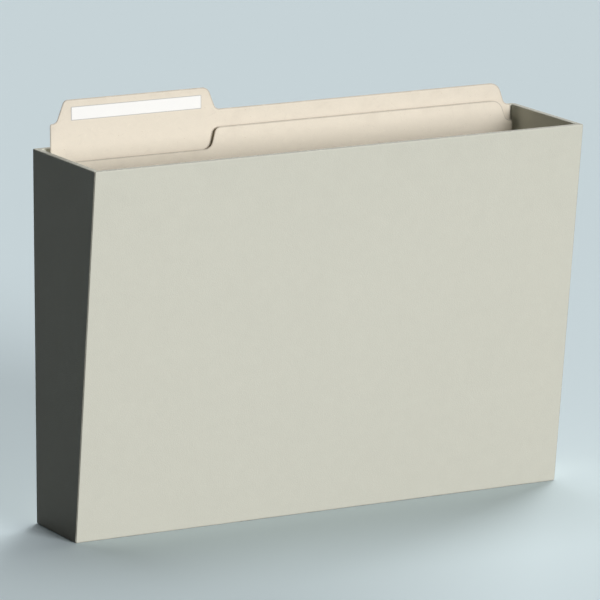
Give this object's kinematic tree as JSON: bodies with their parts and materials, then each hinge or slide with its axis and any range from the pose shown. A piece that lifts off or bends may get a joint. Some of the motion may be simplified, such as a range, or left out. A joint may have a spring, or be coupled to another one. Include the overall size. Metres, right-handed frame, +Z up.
{
  "type": "chart holder",
  "caption": "Wall-mounted open-topped chart holder with a front that leans out towards the rim, holding one tabbed file folder.",
  "frame": {"origin": "centre of the back panel's outer face, which lies against the wall", "axes": "+X to the right seen from the front, +Y into the wall, +Z up"},
  "size_m": [0.3128, 0.0801, 0.2452],
  "materials": {
    "panel_plastic": "warm light grey plastic sheet with a fine matte texture, edges slightly eased",
    "manila_card": "matte buff manila card with fine fibres and flecks",
    "label_paper": "smooth white label paper, blank"
  },
  "bodies": {
    "holder": {"back_panel": "panel_plastic", "front_panel": "panel_plastic", "bottom_panel": "panel_plastic", "left_end_panel": "panel_plastic", "right_end_panel": "panel_plastic"},
    "folder": {"folder_back_leaf": "manila_card", "folder_bottom_fold": "manila_card", "folder_label": "label_paper"},
    "front_leaf": {"folder_front_leaf": "manila_card"}
  },
  "joints": [
    {"name": "folder_lift", "type": "slide", "parent": "holder", "child": "folder", "axis": [0, 0, 1], "range_m": [0, 0.22]},
    {"name": "front_leaf_hinge", "type": "hinge", "parent": "folder", "child": "front_leaf", "pos_m": [0, -0.01033, -0.10342], "axis": [1, 0, 0], "range_deg": [0, 17]}
  ]
}
